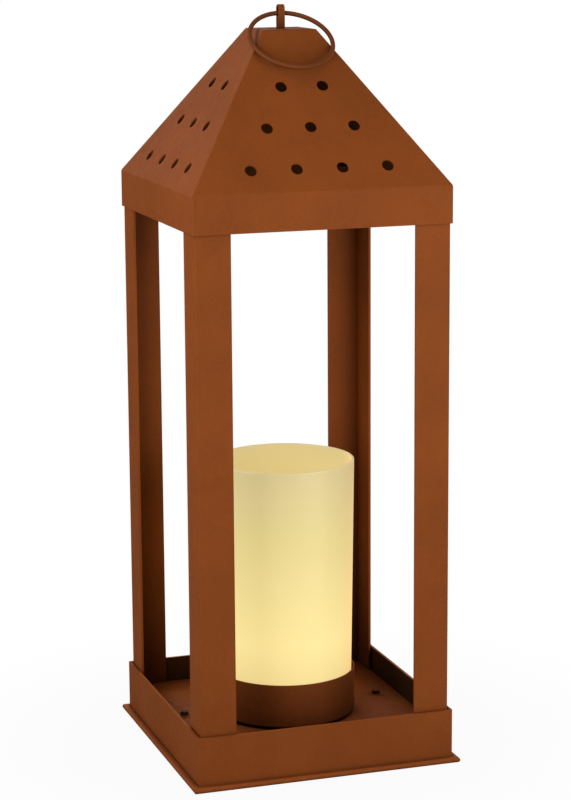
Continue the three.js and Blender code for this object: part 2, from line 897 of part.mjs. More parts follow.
// Rubber grommet in the rear wall, where the cord comes in
function cordGrommet() {
  const neck = cordHoleRadius - fitGap;
  const inner = traySheet / 2 + fitGap;
  const outer = inner + grommetFlangeSheet;
  return latheRing([
    [grommetBore, -outer],
    [grommetFlange, -outer],
    [grommetFlange, -inner],
    [neck, -inner],
    [neck, inner],
    [grommetFlange, inner],
    [grommetFlange, outer],
    [grommetBore, outer],
  ], threadSides).rotateX(-Math.PI / 2).translate(0, trayHalf - traySheet / 2, cordHoleHeight);
}

addPiece('base_frame', baseFrame(), rustPaint);
addPiece('base_cover', baseCover(), rustPaint);
coverScrewPlaces().forEach(([x, y], i) => addPiece(`cover_screw_${i + 1}`, coverScrew(x, y), zincPlate));
addPiece('channel_left', channel(-1), zincPlate);
addPiece('channel_right', channel(1), zincPlate);
addPiece('floor_plate', floorPlate(), rustPaint);
['rear_right', 'rear_left', 'front_left', 'front_right'].forEach((place, quarter) => {
  addPiece(`post_${place}`, cornerPost().rotateZ(quarter * Math.PI / 2), rustPaint);
});
addPiece('roof_shell', roofShell(), rustPaint);
addPiece('hanger_eye', hangerEye(), rustPaint);
addPiece('hanger_washer', hangerWasher(), zincPlate);
addPiece('hanger_nut', hangerNut(), zincPlate);
addPiece('carry_ring', carryRing(), rustPaint);
addPiece('cup_washer', cupWasher(), blackRubber);
addPiece('glass_cup', glassCup(), rustPaint);
addPiece('glass_gasket', glassGasket(), blackRubber);
addPiece('glass_shade', glassShade(), opalGlass);
addPiece('nipple', nipple(), brass);
addPiece('nipple_nut', nippleNut(), brass);
addPiece('holder_body', holderBody(), blackPlastic);
addPiece('holder_insert', holderInsert(), whitePlastic);
addPiece('holder_shell', holderShell(), brass);
addPiece('centre_contact', centreContact(), brass);
addPiece('bulb_contact', bulbContact(), brass);
addPiece('bulb_insulator', bulbInsulator(), blackPlastic);
addPiece('bulb_cap', bulbCap(), zincPlate);
addPiece('bulb_collar', bulbCollar(), whitePlastic);
addPiece('led_board', ledBoard(), boardFinish);
addPiece('bulb_globe', bulbGlobe(), opalGlass);
addPiece('terminal_block', terminalBlock(), whitePlastic);
addPiece('terminal_screw', terminalScrew(), zincPlate);
addPiece('lead_live', lead(-1), leadBrown);
addPiece('lead_neutral', lead(1), leadBlue);
addPiece('cord_grommet', cordGrommet(), blackRubber);

export default lantern;
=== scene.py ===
# %% [markdown]
# A square post lantern, made as it looks in a bright studio: a rust-brown powder coat on folded
# sheet steel, and a cylinder of opal glass that glows over its bulb.
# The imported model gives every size. Each visible piece is modelled again here, with the bends,
# rims and joints that a camera sees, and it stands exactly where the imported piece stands.

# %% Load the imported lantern
import json
import math

import bmesh
import bpy
from mathutils import Matrix, Vector


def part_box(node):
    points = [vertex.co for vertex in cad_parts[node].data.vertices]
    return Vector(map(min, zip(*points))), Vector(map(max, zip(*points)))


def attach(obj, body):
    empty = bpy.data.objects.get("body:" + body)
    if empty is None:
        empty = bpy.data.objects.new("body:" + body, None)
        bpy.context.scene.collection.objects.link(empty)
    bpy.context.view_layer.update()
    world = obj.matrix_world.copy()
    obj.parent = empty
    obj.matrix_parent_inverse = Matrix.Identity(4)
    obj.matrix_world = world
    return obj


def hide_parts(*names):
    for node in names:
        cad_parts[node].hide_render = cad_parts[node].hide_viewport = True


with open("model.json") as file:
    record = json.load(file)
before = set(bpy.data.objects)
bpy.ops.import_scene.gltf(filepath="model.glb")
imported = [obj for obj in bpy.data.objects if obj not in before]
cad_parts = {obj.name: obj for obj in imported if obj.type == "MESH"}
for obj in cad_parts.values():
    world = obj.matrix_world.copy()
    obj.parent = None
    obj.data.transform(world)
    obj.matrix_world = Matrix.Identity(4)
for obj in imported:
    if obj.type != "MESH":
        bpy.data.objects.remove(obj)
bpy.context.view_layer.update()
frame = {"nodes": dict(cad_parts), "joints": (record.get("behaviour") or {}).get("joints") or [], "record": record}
MM = 0.001
print("pieces in the packed lantern:", len(frame["nodes"]))

# %% [markdown]
# Modelling works on what is selected, so each step starts from a clean selection. These helpers
# do by code what a hand does with the mouse: begin a piece from a primitive, open it in edit
# mode, pick corners, edges or faces by where they are, and apply a modifier.

# %% Helpers for modelling


def only(piece):
    """Makes one piece the selected and active one."""
    bpy.ops.object.select_all(action="DESELECT")
    piece.select_set(True)
    bpy.context.view_layer.objects.active = piece


def begin(name, add, scale=(1, 1, 1), **settings):
    """Adds a primitive with its place in its mesh, so that its object sits at the origin."""
    bpy.ops.object.select_all(action="DESELECT")
    add(**settings)
    piece = bpy.context.object
    piece.scale = scale
    piece.name = name
    piece.data.name = name
    bpy.ops.object.transform_apply(location=True, rotation=True, scale=True)
    return piece


def open_piece(piece):
    """Opens a piece in edit mode with nothing selected."""
    only(piece)
    bpy.ops.object.mode_set(mode="EDIT")
    bpy.ops.mesh.select_all(action="DESELECT")


def close_piece():
    """Goes back to object mode."""
    bpy.ops.object.mode_set(mode="OBJECT")


def middle_of(part):
    """The middle of a corner, an edge or a face."""
    if isinstance(part, bmesh.types.BMVert):
        return part.co.copy()
    corners = [corner.co for corner in part.verts]
    return sum(corners, Vector()) / len(corners)


def pick(piece, kind, test):
    """Selects the corners, edges or faces for which a test of their middle holds."""
    bpy.ops.mesh.select_all(action="DESELECT")
    bpy.ops.mesh.select_mode(type=kind)
    form = bmesh.from_edit_mesh(piece.data)
    parts = {"VERT": form.verts, "EDGE": form.edges, "FACE": form.faces}[kind]
    chosen = [part for part in parts if test(middle_of(part), part)]
    for part in chosen:
        part.select_set(True)
    bmesh.update_edit_mesh(piece.data)
    return len(chosen)


def extrude(x, y, z):
    """Extrudes what is selected by a step."""
    bpy.ops.mesh.extrude_region_move(TRANSFORM_OT_translate={"value": (x, y, z)})


def widen(factor, height=0.0):
    """Scales what is selected about the lantern's upright axis."""
    bpy.ops.transform.resize(value=(factor, factor, 1), center_override=(0, 0, height))


def modify(piece, kind, **settings):
    """Adds a modifier, sets it and applies it."""
    only(piece)
    modifier = piece.modifiers.new(kind.title(), kind)
    for setting, value in settings.items():
        setattr(modifier, setting, value)
    bpy.ops.object.modifier_apply(modifier=modifier.name)


def thicken(piece, sheet):
    """Gives a skin the thickness of its sheet, inwards."""
    modify(piece, "SOLIDIFY", thickness=sheet, offset=-1, use_even_offset=True)


def soften(piece, width, steps=3, sharper_than=50):
    """Rounds the edges that are sharper than an angle in degrees."""
    modify(
        piece,
        "BEVEL",
        width=width,
        segments=steps,
        limit_method="ANGLE",
        angle_limit=math.radians(sharper_than),
    )


def smooth(piece, angle=35):
    """Shades curves smoothly and keeps flat faces flat."""
    only(piece)
    bpy.ops.object.shade_smooth_by_angle(angle=math.radians(angle))
    modify(piece, "WEIGHTED_NORMAL", keep_sharp=True)


def tidy(piece):
    """Merges doubles and turns all faces outwards."""
    open_piece(piece)
    bpy.ops.mesh.select_all(action="SELECT")
    bpy.ops.mesh.remove_doubles(threshold=1e-6)
    bpy.ops.mesh.normals_make_consistent(inside=False)
    close_piece()


def unite(piece, others):
    """Joins other objects into a piece."""
    bpy.ops.object.select_all(action="DESELECT")
    for other in others:
        other.select_set(True)
    piece.select_set(True)
    bpy.context.view_layer.objects.active = piece
    bpy.ops.object.join()


def combine(piece, tool, operation):
    """Cuts a tool out of a piece, or welds it on, and removes the tool."""
    modify(piece, "BOOLEAN", object=tool, operation=operation, solver="EXACT")
    bpy.data.objects.remove(tool)


def turned(name, profile, sides=96, closed=True):
    """Turns a profile of (radius, height) about the upright axis, by extruding one circle."""
    radius, height = profile[0]
    piece = begin(
        name,
        bpy.ops.mesh.primitive_circle_add,
        vertices=sides,
        radius=radius,
        location=(0, 0, height),
    )
    open_piece(piece)
    bpy.ops.mesh.select_all(action="SELECT")
    for wide, high in profile[1:]:
        extrude(0, 0, high - height)
        widen(wide / radius, high)
        radius, height = wide, high
    if closed:
        pick(piece, "EDGE", lambda middle, edge: len(edge.link_faces) == 1)
        bpy.ops.mesh.bridge_edge_loops()
    close_piece()
    tidy(piece)
    return piece


def arc(centre, radius, start, end, steps):
    """Points of an arc in a profile, from one angle in degrees to another."""
    points = []
    for step in range(steps + 1):
        angle = math.radians(start + (end - start) * step / steps)
        points.append((centre[0] + radius * math.cos(angle), centre[1] + radius * math.sin(angle)))
    return points


def place(piece, node, body, material):
    """Lets a finished piece stand for a packed one, in its body and with its finish."""
    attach(piece, body)
    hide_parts(node)
    piece.data.materials.clear()
    piece.data.materials.append(material)
    print(piece.name, "faces:", len(piece.data.polygons))


def paint_shade_inside(piece, material, rim=False):
    """Gives the faces that look at the upright axis, and a rim on top, a second finish, which is painted shade: a
    darker coat or a dimmer glow.
    """
    piece.data.materials.append(material)
    inwards = -0.4
    upwards = 0.5
    count = 0
    for face in piece.data.polygons:
        outwards = Vector((face.center.x, face.center.y)).normalized()
        looks_in = outwards.dot(face.normal.xy) < inwards
        looks_in = looks_in or (rim and face.normal.z > upwards)
        face.material_index = int(looks_in)
        count += looks_in
    print(piece.name, "inner faces:", count)


# %% [markdown]
# A finish is a material made of nodes. The Principled shader gives the kind of surface, and
# noise on Object coordinates gives what no real surface is without: grain, small changes of
# tone and a roughness that isn't the same all over.

# %% Helpers for materials


def new_finish(name, roughness, metallic=0.0):
    """A material with a Principled shader, and the tools to add nodes to it."""
    material = bpy.data.materials.new(name)
    material.use_nodes = True
    tree = material.node_tree
    shader = tree.nodes["Principled BSDF"]
    shader.inputs["Roughness"].default_value = roughness
    shader.inputs["Metallic"].default_value = metallic
    return material, tree, shader


def add_node(tree, kind, **inputs):
    """Adds a node and sets its inputs, each to a value or to another node's output."""
    node = tree.nodes.new(kind)
    for name, value in inputs.items():
        socket = node.inputs[name.replace("_", " ")]
        if isinstance(value, bpy.types.NodeSocket):
            tree.links.new(value, socket)
        else:
            socket.default_value = value
    return node


def noise(tree, size, detail=3.0, rough=0.6):
    """Noise whose blotches are about as wide as the size given, in metres."""
    place_of = add_node(tree, "ShaderNodeTexCoord").outputs["Object"]
    return add_node(
        tree, "ShaderNodeTexNoise", Vector=place_of, Scale=1 / size, Detail=detail, Roughness=rough
    ).outputs["Fac"]


def spread(tree, value, low, high, to_low=0.0, to_high=1.0):
    """Stretches a range of values to another range."""
    node = tree.nodes.new("ShaderNodeMapRange")
    node.inputs["From Min"].default_value = low
    node.inputs["From Max"].default_value = high
    node.inputs["To Min"].default_value = to_low
    node.inputs["To Max"].default_value = to_high
    tree.links.new(value, node.inputs["Value"])
    return node.outputs["Result"]


def blend_colours(tree, share, first, second):
    """Mixes two colours, or two outputs, by a share."""
    node = tree.nodes.new("ShaderNodeMix")
    node.data_type = "RGBA"
    tree.links.new(share, node.inputs["Factor"])
    for socket, value in ((node.inputs[6], first), (node.inputs[7], second)):
        if isinstance(value, bpy.types.NodeSocket):
            tree.links.new(value, socket)
        else:
            socket.default_value = (*value, 1)
    return node.outputs[2]


def multiply_colours(tree, first, second):
    """Multiplies two outputs that hold colours."""
    node = tree.nodes.new("ShaderNodeMix")
    node.data_type = "RGBA"
    node.blend_type = "MULTIPLY"
    node.inputs["Factor"].default_value = 1.0
    tree.links.new(first, node.inputs[6])
    tree.links.new(second, node.inputs[7])
    return node.outputs[2]


def grain(tree, shader, value, depth, strength=1.0, under=None):
    """Adds a bump of a depth in metres, over another bump if one is given."""
    node = add_node(tree, "ShaderNodeBump", Height=value, Distance=depth, Strength=strength)
    if under:
        tree.links.new(under, node.inputs["Normal"])
    tree.links.new(node.outputs["Normal"], shader.inputs["Normal"])
    return node.outputs["Normal"]


# %% [markdown]
# The powder coat is a rust-brown plastic skin, baked on. Close by it has a fine grain like
# orange peel, and from a step away a faint mottle and soft clouds. All come from noise of several
# sizes. In recesses the ambient occlusion node lowers the colour: this is painted shade. The
# insides of the tray and of the roof get a darker copy of the coat, and so does the ring's wire:
# this is painted shade as well.

# %% Powder coat


coat_light = (0.290, 0.0722, 0.0148)
coat_dark = (0.254, 0.0640, 0.0130)
mottle_dark = (0.955, 0.95, 0.94)
mottle_light = (1.035, 1.04, 1.05)
# Reach and curve of the painted shade that darkens the coat in recesses.
painted_shade_reach = 120 * MM
painted_shade_curve = ((0.2, 0.14), (0.95, 1.0), (0.6, 0.74))
cloud_size = 45 * MM
mottle_size = 2.2 * MM
peel_size = 0.9 * MM
peel_depth = 0.06 * MM
ripple_size = 4 * MM
ripple_depth = 0.08 * MM


def powder_coat(name, depth=(1.0, 1.0, 1.0)):
    """The coat, with its red, green and blue each at a share of their full strength."""
    material, tree, shader = new_finish(name, 0.6)
    clouds = spread(tree, noise(tree, cloud_size), 0.35, 0.65)
    mottle = spread(tree, noise(tree, mottle_size, 4.0, 0.7), 0.38, 0.62)
    light = [share * tone for share, tone in zip(depth, coat_light)]
    dark = [share * tone for share, tone in zip(depth, coat_dark)]
    base = blend_colours(tree, clouds, light, dark)
    tone = blend_colours(tree, mottle, mottle_dark, mottle_light)
    mottled = multiply_colours(tree, base, tone)
    # Painted shade: ambient occlusion darkens the colour in recesses and corners, where shade falls.
    painted_shade_ao = tree.nodes.new("ShaderNodeAmbientOcclusion")
    painted_shade_ao.samples = 6
    painted_shade_ao.inputs["Distance"].default_value = painted_shade_reach
    tree.links.new(mottled, painted_shade_ao.inputs["Color"])
    share = tree.nodes.new("ShaderNodeFloatCurve")
    curve = share.mapping.curves[0]
    curve.points[0].location = painted_shade_curve[0]
    curve.points[1].location = painted_shade_curve[1]
    curve.points.new(*painted_shade_curve[2])
    tree.links.new(painted_shade_ao.outputs["AO"], share.inputs["Value"])
    shaded = blend_colours(tree, share.outputs["Value"], (0, 0, 0), mottled)
    tree.links.new(shaded, shader.inputs["Base Color"])
    rough = spread(tree, noise(tree, 0.006), 0.3, 0.7, 0.52, 0.68)
    tree.links.new(rough, shader.inputs["Roughness"])
    shader.inputs["Specular IOR Level"].default_value = 0.05
    peel = grain(tree, shader, noise(tree, peel_size, 2.0), peel_depth, 0.2)
    grain(tree, shader, noise(tree, ripple_size, 2.0), ripple_depth, 0.08, under=peel)
    return material


coat = powder_coat("rust_powder_coat")
# A darker copy of the coat for the insides of the tray and roof and for the fixing screws: painted shade.
inside_painted_shade_coat = powder_coat("rust_coat_inside_painted_shade", (0.42, 0.6, 0.6))
# A darker, bluer copy of the coat for the ring's wire: painted shade.
wire_painted_shade_coat = powder_coat("rust_coat_wire_painted_shade", (0.72, 0.8, 1.1))
print("finishes:", coat.name, inside_painted_shade_coat.name, wire_painted_shade_coat.name)

# %% [markdown]
# The small metal parts are zinc plate and brass, the insulating ones plastic and rubber. They
# share one recipe: two tones, one grain, and a roughness of their own.

# %% Metals, plastics and rubber


def plain_finish(name, dark, light, roughness, metallic=0.0):
    """A finish of two close tones, with blotches 6 mm wide and a grain of an eighth of that."""
    blotch = 6 * MM
    depth = 0.03 * MM
    material, tree, shader = new_finish(name, roughness, metallic)
    share = spread(tree, noise(tree, blotch), 0.35, 0.65)
    tree.links.new(blend_colours(tree, share, dark, light), shader.inputs["Base Color"])
    rough = spread(tree, noise(tree, blotch / 2), 0.3, 0.7, roughness - 0.06, roughness + 0.08)
    tree.links.new(rough, shader.inputs["Roughness"])
    grain(tree, shader, noise(tree, blotch / 8, 2.0), depth, 0.4)
    return material


zinc = plain_finish("zinc_plate", (0.46, 0.47, 0.45), (0.62, 0.62, 0.60), 0.38, 1.0)
brass = plain_finish("brass", (0.52, 0.36, 0.13), (0.66, 0.49, 0.20), 0.34, 1.0)
black_plastic = plain_finish("black_plastic", (0.014, 0.014, 0.014), (0.024, 0.023, 0.022), 0.42)
white_plastic = plain_finish("white_plastic", (0.72, 0.70, 0.65), (0.80, 0.78, 0.73), 0.38)
rubber = plain_finish("black_rubber", (0.018, 0.018, 0.018), (0.034, 0.033, 0.032), 0.75)
board_lacquer = plain_finish("board_lacquer", (0.66, 0.66, 0.62), (0.76, 0.76, 0.72), 0.5)
brown_sheath = plain_finish("brown_sheath", (0.10, 0.032, 0.012), (0.14, 0.045, 0.017), 0.5)
blue_sheath = plain_finish("blue_sheath", (0.024, 0.07, 0.30), (0.034, 0.095, 0.38), 0.5)
print("finishes in the scene so far:", len(bpy.data.materials))

# %% [markdown]
# Opal glass scatters light through its whole wall, so a lit cylinder glows by itself, most
# strongly round the bulb and less towards its rim. A lamp behind real scattering glass needs
# long renders, so the glow is an emission whose strength follows the height. The ivory of the
# glass has faint clouds in it, as drawn glass has. The inside and the rim glow a little less than
# the outside, so the rim shows as a thin line.

# %% Opal glass and the bulb's milky dome

glass_low, glass_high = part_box("glass_shade")
bulb_low, bulb_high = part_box("bulb_globe")
glow_height = 0.092


def opal_glass(name, glow_strength):
    """Opal glass that is brightest at the height of its bulb and amber towards its sides."""
    material, tree, shader = new_finish(name, 0.3)
    clouds = spread(tree, noise(tree, 0.05, 2.0), 0.3, 0.7)
    ivory = blend_colours(tree, clouds, (0.44, 0.37, 0.205), (0.42, 0.35, 0.18))
    tree.links.new(ivory, shader.inputs["Base Color"])
    place_of = add_node(tree, "ShaderNodeTexCoord").outputs["Object"]
    height = add_node(tree, "ShaderNodeSeparateXYZ", Vector=place_of).outputs["Z"]
    above = spread(tree, height, glow_height, glass_high.z)
    below = spread(tree, height, glow_height, glass_low.z)
    fade = tree.nodes.new("ShaderNodeValToRGB")
    fade.color_ramp.elements[0].color = (0.77, 0.62, 0.24, 1)
    fade.color_ramp.elements[1].color = (0.43, 0.355, 0.165, 1)
    middle = fade.color_ramp.elements.new(0.55)
    middle.color = (0.57, 0.475, 0.175, 1)
    tree.links.new(above, fade.inputs["Fac"])
    glow = blend_colours(tree, below, fade.outputs["Color"], (0.60, 0.455, 0.17))
    # Painted glow: the emission turns amber where the glass is seen edge-on.
    edge = add_node(tree, "ShaderNodeLayerWeight", Blend=0.35).outputs["Facing"]
    amber = blend_colours(tree, spread(tree, edge, 0.3, 1.0), (1, 1, 1), (1.28, 0.94, 0.82))
    tree.links.new(multiply_colours(tree, glow, amber), shader.inputs["Emission Color"])
    shader.inputs["Emission Strength"].default_value = glow_strength
    grain(tree, shader, noise(tree, 0.02, 1.0), 0.0002, 0.25)
    return material


def milky_dome():
    """The bulb's dome, which glows everywhere but at its foot."""
    material, tree, shader = new_finish("milky_dome", 0.3)
    share = spread(tree, noise(tree, 0.02), 0.3, 0.7)
    cream = blend_colours(tree, share, (0.8, 0.76, 0.66), (0.84, 0.8, 0.7))
    tree.links.new(cream, shader.inputs["Base Color"])
    place_of = add_node(tree, "ShaderNodeTexCoord").outputs["Object"]
    height = add_node(tree, "ShaderNodeSeparateXYZ", Vector=place_of).outputs["Z"]
    share = spread(tree, height, bulb_low.z, bulb_low.z + 0.25 * (bulb_high.z - bulb_low.z))
    glow = blend_colours(tree, share, (0.55, 0.36, 0.13), (1.0, 0.78, 0.42))
    tree.links.new(glow, shader.inputs["Emission Color"])
    shader.inputs["Emission Strength"].default_value = 1.0
    return material


opal = opal_glass("opal_glass", 1.0)
opal_inside = opal_glass("opal_glass_inside", 0.78)
dome = milky_dome()
print("the glow is strongest at a height of", glow_height, "m")

# %% [markdown]
# Tray: one sheet folded up to a square wall, and out again at its foot to a narrow flange, whose
# edge is hemmed: folded back over itself, so that it is stiff and no sharp edge is left. A thin
# dark gap stays between the hem and the wall. The wall is the skin of a box without its top and
# bottom, its corners rounded, and then given the thickness of the sheet. The flange keeps sharp
# mitred corners, so it is its own profile, run round a square and welded to the wall.

# %% Tray

tray_low, tray_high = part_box("base_frame")
sheet = 2 * MM
flange = 5 * MM
hem_slack = 0.6 * MM
hem_gap = 0.7 * MM
tray_bend = 1.2 * MM
wall = tray_high.x - flange
nose = sheet + hem_slack / 2

tray = begin(
    "tray_sheet",
    bpy.ops.mesh.primitive_cube_add,
    size=1,
    location=(0, 0, tray_high.z / 2),
    scale=(2 * wall, 2 * wall, tray_high.z),
)
open_piece(tray)
pick(tray, "FACE", lambda middle, face: abs(face.normal.z) > 0.9)
bpy.ops.mesh.delete(type="ONLY_FACE")
pick(tray, "EDGE", lambda middle, edge: abs(middle.x) > 0.99 * wall and abs(middle.y) > 0.99 * wall)
bpy.ops.mesh.bevel(offset=tray_bend, segments=4)
close_piece()
thicken(tray, sheet)

section = [(wall - sheet, 0)] + arc((tray_high.x - nose, nose), nose, -90, 90, 10)
section += [(wall + hem_gap, 2 * nose), (wall + hem_gap, sheet), (wall - sheet, sheet)]
to_corner = math.sqrt(2)
hem = turned("hem", [(half * to_corner, level) for half, level in section], sides=4)
hem.data.transform(Matrix.Rotation(math.radians(45), 4, "Z"))
combine(tray, hem, "UNION")
print("height of the hem:", round(2 * nose / MM, 1), "mm")

# %% Hole for the cord

grommet_low, grommet_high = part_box("cord_grommet")
cord_height = (grommet_low.z + grommet_high.z) / 2
cord_hole = 6.3 * MM
hole = begin(
    "hole",
    bpy.ops.mesh.primitive_cylinder_add,
    vertices=48,
    radius=cord_hole,
    depth=6 * sheet,
    location=(0, wall, cord_height),
    rotation=(math.pi / 2, 0, 0),
)
combine(tray, hole, "DIFFERENCE")
soften(tray, 0.3 * MM, sharper_than=60)
smooth(tray)
place(tray, "base_frame", "frame", coat)
# Painted shade: the tray's inward faces get the darker copy of the coat.
paint_shade_inside(tray, inside_painted_shade_coat)

# %% [markdown]
# Corner posts: angle sections folded from the same sheet. One is made at the rear right corner:
# a flat strip, a second strip pulled from its edge, the fold between them rounded. Its three
# copies are turned by quarter turns, each with a mesh of its own.

# %% Posts

post_low, post_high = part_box("post_rear_right")
post_width = post_high.x - post_low.x
post_bend = 1.4 * MM

master = begin(
    "post_master",
    bpy.ops.mesh.primitive_plane_add,
    size=1,
    location=((post_low.x + post_high.x) / 2, post_high.y, (post_low.z + post_high.z) / 2),
    rotation=(-math.pi / 2, 0, 0),
    scale=(post_width, post_high.z - post_low.z, 1),
)
open_piece(master)
pick(master, "EDGE", lambda middle, edge: middle.x > post_high.x - 1e-5)
extrude(0, -post_width, 0)
pick(master, "EDGE", lambda middle, edge: len(edge.link_faces) == 2)
bpy.ops.mesh.bevel(offset=post_bend, segments=6)
close_piece()
tidy(master)
thicken(master, sheet)
soften(master, 0.3 * MM)
smooth(master)
for turns, corner in enumerate(("rear_right", "rear_left", "front_left", "front_right")):
    post = master.copy()
    post.data = master.data.copy()
    post.name = f"post_sheet_{corner}"
    bpy.context.scene.collection.objects.link(post)
    post.data.transform(Matrix.Rotation(turns * math.pi / 2, 4, "Z"))
    place(post, f"post_{corner}", "frame", coat)
bpy.data.objects.remove(master)

# %% [markdown]
# Floor plate: a flat sheet that steps in at its corners to pass inside the posts, with a dark
# gap to the tray's wall. Two holes, each in a low pressed seat, take the screws that fix the
# lantern down.

# %% Floor plate

floor_low, floor_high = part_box("floor_plate")
play = 0.3 * MM
step_in = post_low.x - play
notch = post_high.x - sheet - play
fixing_x = 84 * MM
fixing_y = 11 * MM
fixing_radius = 3.25 * MM
seat_radius = 7 * MM
seat_rise = 0.3 * MM
plate_top = floor_high.z - seat_rise

plate = begin(
    "floor_sheet",
    bpy.ops.mesh.primitive_plane_add,
    size=2 * floor_high.x,
    location=(0, 0, plate_top),
)
open_piece(plate)
for level in (-notch, -step_in, step_in, notch):
    for axis in ((1, 0, 0), (0, 1, 0)):
        bpy.ops.mesh.select_all(action="SELECT")
        bpy.ops.mesh.bisect(plane_co=Vector(axis) * level, plane_no=axis)
pick(
    plate,
    "FACE",
    lambda middle, face: min(abs(middle.x), abs(middle.y)) > step_in
    and max(abs(middle.x), abs(middle.y)) > notch,
)
bpy.ops.mesh.delete(type="FACE")
bpy.ops.mesh.select_all(action="SELECT")
bpy.ops.mesh.dissolve_limited(angle_limit=math.radians(1))
close_piece()
tidy(plate)
thicken(plate, plate_top - floor_low.z)
soften(plate, 0.3 * MM)
for side in (-1, 1):
    seat = begin(
        "seat",
        bpy.ops.mesh.primitive_cylinder_add,
        vertices=48,
        radius=seat_radius,
        depth=floor_high.z - floor_low.z,
        location=(side * fixing_x, fixing_y, (floor_high.z + floor_low.z) / 2),
    )
    combine(plate, seat, "UNION")
    hole = begin(
        "hole",
        bpy.ops.mesh.primitive_cylinder_add,
        vertices=48,
        radius=fixing_radius,
        depth=6 * sheet,
        location=(side * fixing_x, fixing_y, floor_high.z),
    )
    combine(plate, hole, "DIFFERENCE")
smooth(plate)
place(plate, "floor_plate", "frame", coat)

# %% [markdown]
# Fixing screws: one stands in each seat, with a low hexagon head over a washer, given the
# insides' darker coat, which is painted shade. Each is a cylinder of six sides whose upper edge is
# chamfered, a washer, and a shank that reaches down through the floor plate. The imported floor
# plate keeps its two holes free.

# %% Fixing screws

head_width = 5.5 * MM
head_height = 2.2 * MM
washer_radius = 3.6 * MM
washer_sheet = 0.6 * MM
shank_radius = 2 * MM
shank_length = 12 * MM
seat_gap = 0.02 * MM
head_chamfer = 0.5 * MM
head_crown = 0.3 * MM


def fixing_screw(name, x):
    """Stands one screw in the seat at a place across the floor plate."""
    seat = floor_high.z + seat_gap
    screw = begin(
        name,
        bpy.ops.mesh.primitive_cylinder_add,
        vertices=6,
        radius=head_width / math.sqrt(3),
        depth=head_height,
        location=(x, fixing_y, seat + washer_sheet + head_height / 2),
    )
    open_piece(screw)
    pick(screw, "FACE", lambda middle, face: face.normal.z > 0.9)
    bpy.ops.mesh.inset(thickness=head_chamfer)
    bpy.ops.transform.translate(value=(0, 0, head_crown))
    close_piece()
    for radius, depth, high in (
        (washer_radius, washer_sheet, seat + washer_sheet / 2),
        (shank_radius, shank_length, seat + washer_sheet - shank_length / 2),
    ):
        part = begin(
            "part",
            bpy.ops.mesh.primitive_cylinder_add,
            vertices=32,
            radius=radius,
            depth=depth,
            location=(x, fixing_y, high),
        )
        combine(screw, part, "UNION")
    soften(screw, 0.15 * MM, steps=2)
    smooth(screw)
    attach(screw, "frame")
    # Painted shade: the screws get the darker copy of the coat.
    screw.data.materials.append(inside_painted_shade_coat)
    print(screw.name, "faces:", len(screw.data.polygons))


fixing_screw("fixing_screw_left", -fixing_x)
fixing_screw("fixing_screw_right", fixing_x)

# %% [markdown]
# Roof: a skirt, four slopes and a small flat top, folded and welded from thin sheet. It is one
# box whose upper face is drawn up and in. The vents are punched square to each slope: two, three
# and four holes from the top down. Their cutters are laid out for one slope and turned about.

# %% Roof

roof_low, roof_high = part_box("roof_shell")
roof_sheet = 1.2 * MM
eave = 464.3 * MM
top_half = 22 * MM
fold = 0.9 * MM
slope = math.atan2(roof_high.z - eave, roof_high.x - top_half)
vent_radius = 4.7 * MM
vent_rows = ((4, 36.6 * MM), (3, 35.1 * MM), (2, 33.6 * MM))
first_row = 19.8 * MM
row_pitch = 36.1 * MM

roof = begin(
    "roof_sheet",
    bpy.ops.mesh.primitive_cube_add,
    size=1,
    location=(0, 0, (roof_low.z + eave) / 2),
    scale=(2 * roof_high.x, 2 * roof_high.x, eave - roof_low.z),
)
open_piece(roof)
pick(roof, "FACE", lambda middle, face: face.normal.z < -0.9)
bpy.ops.mesh.delete(type="ONLY_FACE")
pick(roof, "FACE", lambda middle, face: face.normal.z > 0.9)
extrude(0, 0, roof_high.z - eave)
widen(top_half / roof_high.x)
pick(roof, "EDGE", lambda middle, edge: len(edge.link_faces) == 2)
bpy.ops.mesh.bevel(offset=fold, segments=5)
close_piece()
tidy(roof)
thicken(roof, roof_sheet)

cutters = []
for quarter in range(4):
    turn = Matrix.Rotation(quarter * math.pi / 2, 3, "Z")
    for row, (count, pitch) in enumerate(vent_rows):
        along = first_row + row * row_pitch
        for i in range(count):
            spot = Vector((
                (i - (count - 1) / 2) * pitch,
                -roof_high.x + along * math.cos(slope),
                eave + along * math.sin(slope),
            ))
            cutters.append(begin(
                "vent",
                bpy.ops.mesh.primitive_cylinder_add,
                vertices=40,
                radius=vent_radius,
                depth=10 * MM,
                location=turn @ spot,
                rotation=(slope, 0, quarter * math.pi / 2),
            ))
unite(cutters[0], cutters[1:])
combine(roof, cutters[0], "DIFFERENCE")
soften(roof, 0.3 * MM, steps=2, sharper_than=60)
smooth(roof)
place(roof, "roof_shell", "frame", coat)
# Painted shade: the roof's inward faces get the darker copy of the coat.
paint_shade_inside(roof, inside_painted_shade_coat)
print("vents:", len(cutters))

# %% [markdown]
# Eye: a short upright with a round head and a long hole for the ring's wire. Under it a stud
# passes through the roof to its nut.

# %% Eye on the roof

eye_low, eye_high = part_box("hanger_eye")
ring_low, ring_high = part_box("carry_ring")
wire = 1.8 * MM
wire_play = 0.35 * MM
slack = 3.3 * MM
pivot = Vector(frame["joints"][0]["pos_m"])

